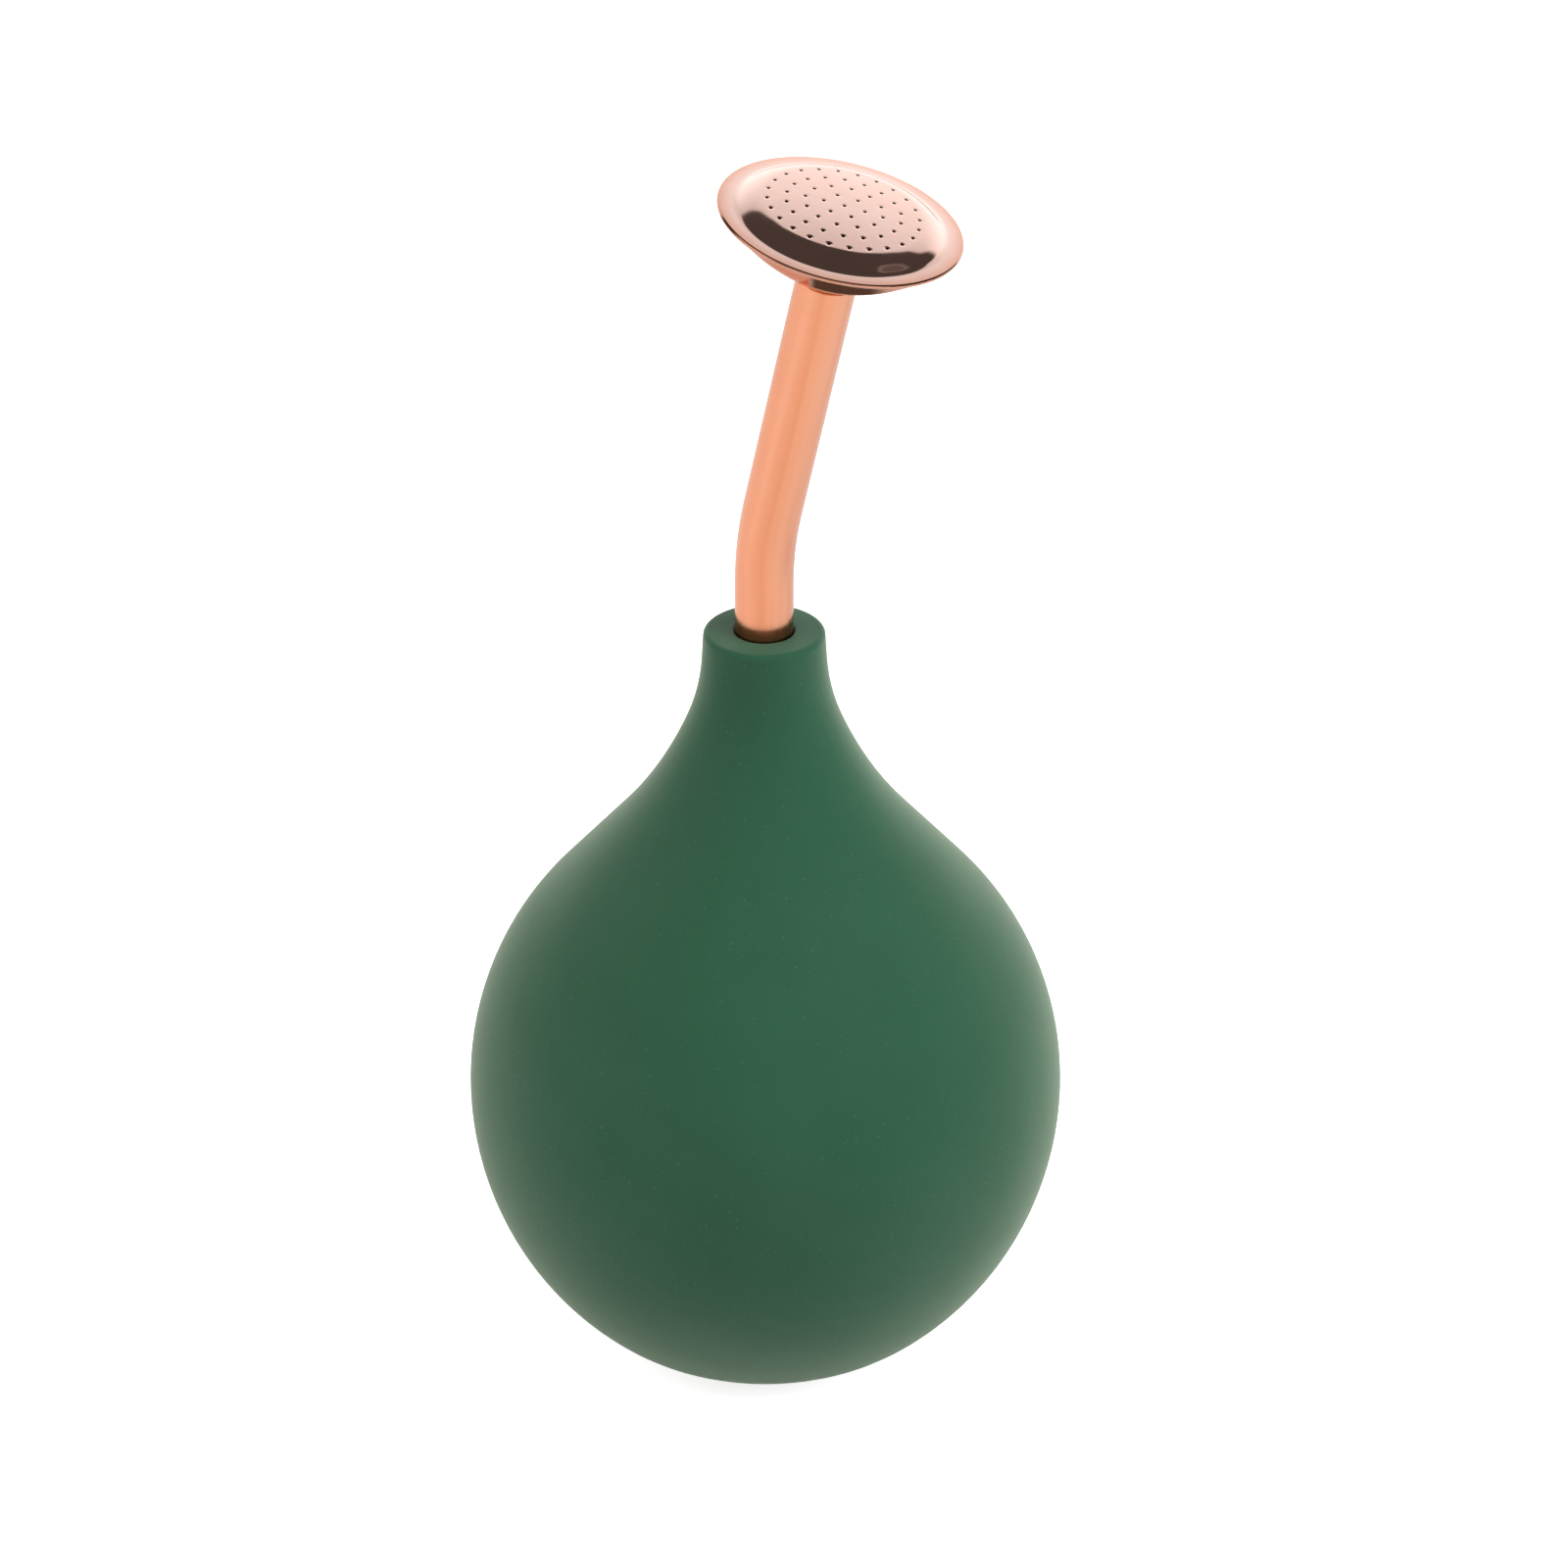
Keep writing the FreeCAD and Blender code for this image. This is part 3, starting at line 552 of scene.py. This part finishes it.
def turned_material(name, dark, light, low_rough, high_rough):
    """A small turned or soldered metal piece, with fine tool marks and a dull bloom."""
    made, nodes = new_material(name)
    where = nodes.place()
    marks = nodes.noise(where, scale=3000.0, detail=3.0)
    bloom = nodes.noise(where, scale=300.0, detail=3.0)
    colour = nodes.mix(nodes.spread(bloom, 0.35, 0.65), dark, light)
    rough = nodes.spread(bloom, 0.3, 0.7, low_rough, high_rough)
    nodes.finish(nodes.principled(
        Base_Color=colour, Metallic=1.0, Roughness=rough, Normal=nodes.bump(marks, 0.01 * MM)))
    return made


def seal_material():
    """Black seal rubber with a soft bloom."""
    made, nodes = new_material("seal_rubber")
    where = nodes.place()
    bloom = nodes.noise(where, scale=600.0, detail=3.0)
    grain = nodes.noise(where, scale=4000.0)
    black = nodes.mix(nodes.spread(bloom, 0.35, 0.7), SEAL_DEEP, SEAL_LIGHT)
    nodes.finish(nodes.principled(
        Base_Color=black, Roughness=nodes.spread(bloom, 0.3, 0.7, 0.4, 0.55),
        Normal=nodes.bump(grain, 0.01 * MM)))
    return made


# ---------------------------------------------------------------- the rubber skin

def rubber_outline(top):
    """The moulding's whole section: from the base up the outside to the mouth, then down the hollow."""
    flat = BULB_RADIUS_MM - LOWER_ARC_MM
    flat += (LOWER_ARC_MM - FOOT_ARC_MM) * math.cos(math.radians(LOWER_TURN_DEG))
    draft = math.radians(DRAFT_DEG)

    outside = Outline(0.0, RECESS_DEPTH_MM, 0.0).forward(RECESS_RADIUS_MM)
    outside.turn_to(-90.0).forward(RECESS_DEPTH_MM)
    outside.turn_to(0.0).forward(flat - RECESS_RADIUS_MM)
    outside.arc(FOOT_ARC_MM, 90.0 - LOWER_TURN_DEG)
    outside.arc(LOWER_ARC_MM, LOWER_TURN_DEG)
    outside.arc(UPPER_ARC_MM, CONE_DEG)
    outside.forward(CONE_LENGTH_MM)
    outside.arc(THROAT_ARC_MM, TAPER_DEG - CONE_DEG)
    outside.arc(NECK_ARC_MM, DRAFT_DEG - TAPER_DEG)
    lip_start = top - LIP_ROUND_MM * (1 - math.sin(draft))
    outside.forward((lip_start - outside.points[-1][1]) / math.cos(draft))
    outside.arc(LIP_ROUND_MM, 90.0 - DRAFT_DEG)

    inside = Outline(0.0, WALL_MM, 0.0).forward(flat)
    inside.arc(FOOT_ARC_MM - WALL_MM, 90.0 - LOWER_TURN_DEG)
    inside.arc(LOWER_ARC_MM - WALL_MM, LOWER_TURN_DEG)
    inside.arc(UPPER_ARC_MM - WALL_MM, CONE_DEG)
    inside.forward((inside.points[-1][0] - BORE_RADIUS_MM) / math.sin(math.radians(CONE_DEG)))
    inside.turn_to(90.0).forward(top - MOUTH_ROUND_MM - inside.points[-1][1])
    inside.arc(MOUTH_ROUND_MM, -90.0)
    return outside.points + inside.points[::-1]


def make_skin():
    """One rubber skin for the whole moulding."""
    low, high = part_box("bulb_neck")
    mesh = bmesh.new()
    outline = rubber_outline(high.z / MM)
    rings = [add_ring(mesh, radius, height, SKIN_SEGMENTS) for radius, height in outline]
    for below, above in zip(rings, rings[1:]):
        join_rings(mesh, below, above)
    skin = to_object(mesh, "rubber_skin", SHARP_DEG)
    places = skin.data.attributes.new(REST_PLACE, "FLOAT_VECTOR", "POINT")
    places.data.foreach_set("vector", [value for vertex in skin.data.vertices for value in vertex.co])
    paint(skin, rubber_material())
    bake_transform(skin)
    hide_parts("bulb_wall", "bulb_neck")


# ---------------------------------------------------------------- the rose's face

def sheet_height(radius, depth):
    """Height of the face's dome and shoulder at a radius, depth below the outer surface. Millimetres."""
    dome = math.radians(DOME_DEG)
    if radius <= (DOME_ARC_MM - depth) * math.sin(dome):
        return APEX_MM - DOME_ARC_MM + math.sqrt((DOME_ARC_MM - depth) ** 2 - radius ** 2)
    middle_r = (DOME_ARC_MM - SHOULDER_ARC_MM) * math.sin(dome)
    middle_h = APEX_MM - DOME_ARC_MM + (DOME_ARC_MM - SHOULDER_ARC_MM) * math.cos(dome)
    return middle_h + math.sqrt((SHOULDER_ARC_MM - depth) ** 2 - (radius - middle_r) ** 2)


def jet_places():
    """(x, y) of each jet's centre on the face, in millimetres."""
    places = []
    for count, ring in JET_RINGS:
        for i in range(count):
            angle = math.radians(JET_TURN_DEG) + 2 * math.pi * i / count
            places.append((ring * math.cos(angle), ring * math.sin(angle)))
    return places


def dimple_depth(x, y, jets):
    """How far the punch has pressed the sheet in at a point near a jet."""
    away = min(math.hypot(x - jet_x, y - jet_y) for jet_x, jet_y in jets)
    share = (DIMPLE_RADIUS_MM - away) / (DIMPLE_RADIUS_MM - JET_RADIUS_MM)
    return DIMPLE_DEPTH_MM * max(0.0, min(1.0, share)) ** 2


def plate_points(jets):
    """Points that cover the perforated plate: loops round each jet, then the edge, then the field."""
    loops, points = [], []
    widths = [JET_RADIUS_MM + (DIMPLE_RADIUS_MM - JET_RADIUS_MM) * share for share in DIMPLE_LOOPS]
    for jet_x, jet_y in jets:
        for width in widths:
            first = len(points)
            for i in range(JET_SEGMENTS):
                angle = 2 * math.pi * i / JET_SEGMENTS
                points.append((jet_x + width * math.cos(angle), jet_y + width * math.sin(angle)))
            loops.append(list(range(first, len(points))))
    edge = len(points)
    for i in range(ROSE_SEGMENTS):
        angle = 2 * math.pi * i / ROSE_SEGMENTS
        points.append((PLATE_RADIUS_MM * math.cos(angle), PLATE_RADIUS_MM * math.sin(angle)))
    loops.append(list(range(edge, len(points))))
    clear = widths[-1] + FIELD_STEP_MM / 2
    for ring in range(1, int(PLATE_RADIUS_MM / FIELD_STEP_MM)):
        radius = ring * FIELD_STEP_MM
        count = round(2 * math.pi * radius / FIELD_STEP_MM)
        for i in range(count):
            x = radius * math.cos(2 * math.pi * i / count)
            y = radius * math.sin(2 * math.pi * i / count)
            if all(math.hypot(x - jet_x, y - jet_y) > clear for jet_x, jet_y in jets):
                points.append((x, y))
    return points, loops, edge


def make_face(frame_of_rose):
    """The pressed face as one closed sheet: plate with dimpled jets, shoulder, valley and flange."""
    jets = jet_places()
    points, loops, edge = plate_points(jets)
    ties = [(a, b) for loop in loops for a, b in zip(loop, loop[1:] + loop[:1])]
    made = geometry.delaunay_2d_cdt([Vector(point) for point in points], ties, [], 0, 1e-7)
    flat, faces = [tuple(point) for point in made[0]], made[2]
    faces = [face for face in faces if not in_a_jet(face, flat, jets)]

    mesh = bmesh.new()
    presses = [dimple_depth(x, y, jets) for x, y in flat]
    top = [mesh.verts.new((x * MM, y * MM, (sheet_height(math.hypot(x, y), 0.0) - press) * MM))
           for (x, y), press in zip(flat, presses)]
    under = [mesh.verts.new((x * MM, y * MM, (sheet_height(math.hypot(x, y), SHEET_MM) - press) * MM))
             for (x, y), press in zip(flat, presses)]
    for face in faces:
        mesh.faces.new([top[i] for i in face])
        mesh.faces.new([under[i] for i in reversed(face)])
    for j in range(len(jets)):
        loop = loops[j * len(DIMPLE_LOOPS)]
        for a, b in zip(loop, loop[1:] + loop[:1]):
            mesh.faces.new((top[a], top[b], under[b], under[a]))

    rim = rim_outline()
    ring = [top[i] for i in range(edge, edge + ROSE_SEGMENTS)]
    for radius, height in rim:
        following = add_ring(mesh, radius, height, ROSE_SEGMENTS)
        join_rings(mesh, ring, following)
        ring = following
    join_rings(mesh, ring, [under[i] for i in range(edge, edge + ROSE_SEGMENTS)])
    loose = [vertex for vertex in mesh.verts if not vertex.link_faces]
    bmesh.ops.delete(mesh, geom=loose, context="VERTS")
    face = to_object(mesh, "rose_face_sheet", SHARP_DEG)
    normals = plate_normals(face.data, jets)
    face.data.transform(frame_of_rose)
    face.data.normals_split_custom_set([frame_of_rose.to_3x3() @ normal for normal in normals])
    return face


def in_a_jet(face, flat, jets):
    """Whether a face of the flat plate lies inside a jet."""
    x = sum(flat[i][0] for i in face) / len(face)
    y = sum(flat[i][1] for i in face) / len(face)
    return any(math.hypot(x - jet_x, y - jet_y) < JET_RADIUS_MM * JET_INSIDE_SHARE
               for jet_x, jet_y in jets)


def rim_outline():
    """From the plate's edge over shoulder, valley, flange and rolled edge, and back under the sheet."""
    middle_r = (DOME_ARC_MM - SHOULDER_ARC_MM) * math.sin(math.radians(DOME_DEG))
    start = math.degrees(math.asin((PLATE_RADIUS_MM - middle_r) / SHOULDER_ARC_MM))
    line = Outline(PLATE_RADIUS_MM, sheet_height(PLATE_RADIUS_MM, 0.0), -start)
    line.arc(SHOULDER_ARC_MM, start - SHOULDER_DEG)
    fall = math.radians(SHOULDER_DEG)
    curves = VALLEY_ARC_MM + BEAD_MM
    across = RIM_RADIUS_MM - BEAD_MM - line.points[-1][0] - VALLEY_ARC_MM * math.sin(fall)
    rise = RIM_HEIGHT_MM - line.points[-1][1] - VALLEY_ARC_MM * math.cos(fall)
    apart = math.hypot(across, rise)
    flange = math.degrees(math.asin(curves / apart) + math.atan2(rise, across))
    line.arc(VALLEY_ARC_MM, SHOULDER_DEG + flange)
    line.forward(math.sqrt(apart ** 2 - curves ** 2))
    line.arc(BEAD_MM, -(flange + 90.0 + math.degrees(math.asin(SEAT_DROP_MM / BEAD_MM))))

    inner_arc = SHOULDER_ARC_MM - SHEET_MM
    inner_start = math.degrees(math.asin((PLATE_RADIUS_MM - middle_r) / inner_arc))
    inner = Outline(PLATE_RADIUS_MM, sheet_height(PLATE_RADIUS_MM, SHEET_MM), -inner_start)
    inner.arc(inner_arc, inner_start - SHOULDER_DEG)
    inner.turn_to(-90.0).forward(inner.points[-1][1] - line.points[-1][1])
    inner.turn_to(0.0).forward(line.points[-1][0] - inner.points[-1][0])
    return line.points[1:] + inner.points[-2:0:-1]


def plate_normals(data, jets):
    """A normal for every corner: on the plate the true surface's own, to mirror without facets."""
    normals = [Vector(corner.vector) for corner in data.corner_normals]
    for polygon in data.polygons:
        if abs(polygon.normal.z) < STEEP_NORMAL:
            continue
        depth = 0.0 if polygon.normal.z > 0 else SHEET_MM
        for loop in polygon.loop_indices:
            place = data.vertices[data.loops[loop].vertex_index].co / MM
            if math.hypot(place.x, place.y) > PLATE_RADIUS_MM - NUDGE_MM:
                continue

            def height(x, y):
                return sheet_height(math.hypot(x, y), depth) - dimple_depth(x, y, jets)

            rise_x = height(place.x + NUDGE_MM, place.y) - height(place.x - NUDGE_MM, place.y)
            rise_y = height(place.x, place.y + NUDGE_MM) - height(place.x, place.y - NUDGE_MM)
            up = Vector((-rise_x, -rise_y, 2 * NUDGE_MM)).normalized()
            normals[loop] = up if depth == 0.0 else -up
    return normals


def make_rose():
    """The face on its CAD place, and the materials of the other pieces of the rose."""
    joint = JOINTS["rose_turn"]
    along = Vector(joint["axis"]).normalized()
    across = Vector((along.z, 0.0, -along.x))
    side = along.cross(across)
    place = Matrix((across, side, along)).transposed().to_4x4()
    place.translation = Vector(joint["pos_m"])
    copper = rose_material(place.translation, along)
    face = make_face(place)
    paint(face, copper)
    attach(face, "rose")
    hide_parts("rose_face")
    paint(NODES["rose_back"], copper)
    paint(NODES["rose_spigot"], turned_material(
        "turned_brass", BRASS_DEEP, BRASS_LIGHT, 0.22, 0.34))
    paint(NODES["rose_solder_ring"], turned_material(
        "soft_solder", SOLDER_DEEP, SOLDER_LIGHT, 0.3, 0.5))
    paint(NODES["spigot_o_ring"], seal_material())


def make_stem():
    """The stem keeps its CAD shape. Its streaks turn with the bend, where its two stretches meet."""
    pivot = Vector(JOINTS["rose_turn"]["pos_m"])
    lean = Vector(JOINTS["rose_turn"]["axis"]).normalized()
    corner = pivot - lean * (pivot.x / lean.x)
    paint(NODES["stem_tube"], stem_material(corner, lean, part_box("bulb_neck")[1].z))


# ---------------------------------------------------------------- stage, light and camera

def direction(azimuth_deg, elevation_deg):
    """From the object out: azimuth 0 is towards -Y and 90 towards +X."""
    azimuth, elevation = math.radians(azimuth_deg), math.radians(elevation_deg)
    return Vector((math.sin(azimuth) * math.cos(elevation),
                   -math.cos(azimuth) * math.cos(elevation), math.sin(elevation)))


def make_floor():
    """A plain pale floor. What the camera sees of it is lifted to the white of a light table."""
    mesh = bmesh.new()
    bmesh.ops.create_grid(mesh, x_segments=1, y_segments=1, size=FLOOR_HALF_WIDTH)
    floor = to_object(mesh, "floor", 30.0)
    floor.location.z = CAD_LOW.z - FLOOR_GAP
    made, nodes = new_material("pale_floor")
    where = nodes.place()
    pale = nodes.mix(nodes.noise(where, scale=8.0), FLOOR_DEEP, FLOOR_LIGHT)
    card = nodes.add("ShaderNodeBsdfDiffuse")
    nodes.feed(card.inputs["Color"], pale)
    lift = nodes.add("ShaderNodeEmission")
    seen = nodes.add("ShaderNodeLightPath").outputs["Is Camera Ray"]
    nodes.feed(lift.inputs["Strength"], nodes.math("MULTIPLY", seen, FLOOR_LIFT))
    both = nodes.add("ShaderNodeAddShader")
    nodes.feed(both.inputs[0], card.outputs[0])
    nodes.feed(both.inputs[1], lift.outputs[0])
    nodes.finish(both.outputs[0])
    paint(floor, made)


def make_world():
    """A dark studio with a backdrop and two patches, and a front panel that shows only in reflections.

    The camera itself sees plain white.
    """
    world = bpy.data.worlds.new("studio")
    bpy.context.scene.world = world
    world.use_nodes = True
    nodes = Nodes(world.node_tree)
    where = nodes.add("ShaderNodeTexCoord").outputs["Generated"]
    behind = direction(CAMERA_AZIMUTH_DEG + 180.0, 0.0)
    aside = direction(CAMERA_AZIMUTH_DEG + 90.0, 0.0)
    depth = nodes.dot(where, behind)
    rise = nodes.dot(where, Z_AXIS)
    width = nodes.math("ABSOLUTE", nodes.dot(where, aside))
    safe_depth = nodes.math("MAXIMUM", depth, SMALL)
    height = nodes.math("DIVIDE", rise, safe_depth)
    reach = nodes.math("DIVIDE", width, safe_depth)
    below_top = nodes.spread(height, BACKDROP_TOP + TOP_BLUR, BACKDROP_TOP - TOP_BLUR)
    within = nodes.spread(reach, BACKDROP_HALF_WIDTH + SIDE_BLUR, BACKDROP_HALF_WIDTH - SIDE_BLUR)
    inside = nodes.math("MULTIPLY", below_top, within)
    glow = nodes.spread(height, BACKDROP_FADE_START, BACKDROP_TOP, BACKDROP_LOW_GLOW, BACKDROP_HIGH_GLOW)

    to_right = direction(CAMERA_AZIMUTH_DEG + RIGHT_PATCH_TURN_DEG, RIGHT_PATCH_ELEVATION_DEG)
    to_left = direction(CAMERA_AZIMUTH_DEG + LEFT_PATCH_TURN_DEG, LEFT_PATCH_ELEVATION_DEG)
    right = nodes.dot(where, to_right)
    disc = nodes.spread(right, *RIGHT_PATCH_EDGE, 0.0, RIGHT_PATCH_GLOW)
    middle = nodes.spread(right, *RIGHT_PATCH_MIDDLE, 0.0, RIGHT_PATCH_GLOW * RIGHT_PATCH_MIDDLE_LOSS)
    left_disc = nodes.spread(nodes.dot(where, to_left), *LEFT_PATCH_EDGE, ROOM_GLOW, LEFT_PATCH_GLOW)
    patches = nodes.math("ADD", nodes.math("SUBTRACT", disc, middle), left_disc)

    ahead = nodes.dot(where, direction(CAMERA_AZIMUTH_DEG, 0.0))
    safe_ahead = nodes.math("MAXIMUM", ahead, SMALL)
    front = nodes.math("MULTIPLY", nodes.spread(nodes.math("DIVIDE", rise, safe_ahead), *FRONT_TOP_EDGE),
                       nodes.spread(nodes.math("DIVIDE", width, safe_ahead), *FRONT_SIDE_EDGE))
    mirrored = nodes.add("ShaderNodeLightPath").outputs["Is Glossy Ray"]
    front = nodes.math("MULTIPLY", nodes.math("MULTIPLY", front, mirrored), FRONT_GLOW)

    room = nodes.add("ShaderNodeBackground")
    nodes.feed(room.inputs["Color"], nodes.mix(inside, ROOM_WARM, WHITE))
    patches = nodes.math("ADD", patches, front)
    nodes.feed(room.inputs["Strength"], nodes.math("ADD", nodes.math("MULTIPLY", inside, glow), patches))
    plain = nodes.add("ShaderNodeBackground")
    nodes.feed(plain.inputs["Strength"], 1.0)
    nodes.feed(plain.inputs["Color"], WHITE)
    choice = nodes.add("ShaderNodeMixShader")
    nodes.feed(choice.inputs[0], nodes.add("ShaderNodeLightPath").outputs["Is Camera Ray"])
    nodes.feed(choice.inputs[1], room.outputs[0])
    nodes.feed(choice.inputs[2], plain.outputs[0])
    nodes.finish(choice.outputs[0], "ShaderNodeOutputWorld")


def add_softbox(name, turn_deg, elevation_deg, distance, power):
    """A soft square light aimed at the object's middle, hidden from the camera and from reflections."""
    light = bpy.data.lights.new(name, "AREA")
    light.shape = "SQUARE"
    light.size = distance * SOFTBOX_WIDTH_PER_DISTANCE
    light.energy = power
    made = bpy.data.objects.new(name, light)
    bpy.context.scene.collection.objects.link(made)
    towards = direction(CAMERA_AZIMUTH_DEG + turn_deg, elevation_deg)
    made.location = (CAD_LOW + CAD_HIGH) / 2 + towards * distance
    made.rotation_mode = "QUATERNION"
    made.rotation_quaternion = towards.to_track_quat("Z", "Y")
    made.visible_camera = False
    made.visible_glossy = False


def make_camera():
    """The camera looks at the aim point, which lies a little below the height of the neck's top."""
    neck_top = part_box("bulb_neck")[1].z
    aim = Vector((AIM_X, AIM_Y, neck_top - AIM_BELOW_NECK))
    back = direction(CAMERA_AZIMUTH_DEG, CAMERA_ELEVATION_DEG)
    lens = bpy.data.cameras.new("camera")
    lens.lens = CAMERA_LENS_MM
    lens.sensor_width = CAMERA_SENSOR_MM
    lens.clip_start = CAMERA_CLIP_START
    made = bpy.data.objects.new("camera", lens)
    bpy.context.scene.collection.objects.link(made)
    made.location = aim + back * CAMERA_DISTANCE
    made.rotation_mode = "QUATERNION"
    made.rotation_quaternion = back.to_track_quat("Z", "Y")
    bpy.context.scene.camera = made


make_skin()
make_stem()
make_rose()
make_floor()
make_world()
for softbox in SOFTBOXES:
    add_softbox(*softbox)
make_camera()
bpy.context.scene.view_settings.view_transform = "Standard"
